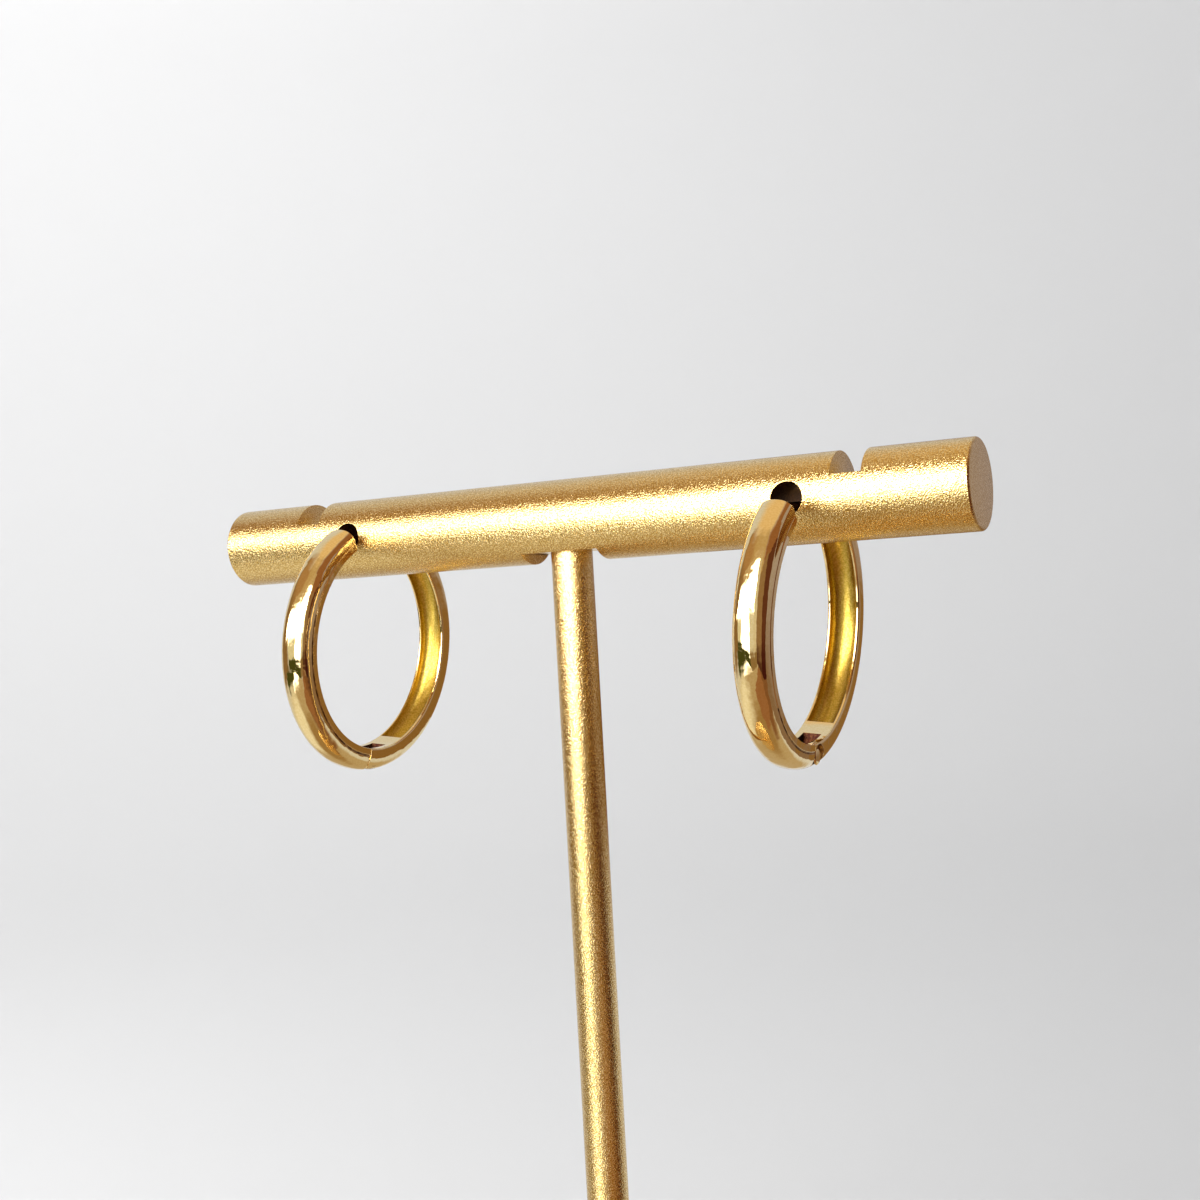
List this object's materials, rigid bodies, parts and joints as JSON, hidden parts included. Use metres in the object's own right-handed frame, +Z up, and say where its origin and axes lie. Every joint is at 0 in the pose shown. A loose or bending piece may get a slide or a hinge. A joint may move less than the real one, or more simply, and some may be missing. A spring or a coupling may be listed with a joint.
{
  "type": "pair of hoop earrings on t-bar stand",
  "caption": "Hinged hoop earrings with domed, hollow-backed bands and straight posts, hung through cross holes in a slim T-bar stand with a round base.",
  "frame": {"origin": "centre of the round base's underside, on the surface that the stand rests on", "axes": "+X along the bar, +Y away from the hoops' front halves, +Z up along the stem"},
  "size_m": [0.0794, 0.05, 0.104],
  "materials": {
    "satin_gold": "fine bead-blasted satin, champagne gold",
    "polished_gold": "polished yellow gold plating, grainier cast surface inside the channel"
  },
  "bodies": {
    "stand_and_back_halves": {"stand_base": "satin_gold", "stand_stem": "satin_gold", "stand_bar": "satin_gold", "left_hoop_back": "polished_gold", "left_hinge_pin": "polished_gold", "right_hoop_back": "polished_gold", "right_hinge_pin": "polished_gold"},
    "left_front_half": {"left_hoop_front": "polished_gold"},
    "right_front_half": {"right_hoop_front": "polished_gold"}
  },
  "joints": [
    {"name": "left_hoop_opens", "type": "hinge", "parent": "stand_and_back_halves", "child": "left_front_half", "pos_m": [-0.02552, -0.00084, 0.07718], "axis": [0.9957, 0, -0.0924], "range_deg": [0, 50]},
    {"name": "right_hoop_opens", "type": "hinge", "parent": "stand_and_back_halves", "child": "right_front_half", "pos_m": [0.02198, 0.00105, 0.07719], "axis": [0.9957, 0, -0.0924], "range_deg": [0, 50]}
  ]
}
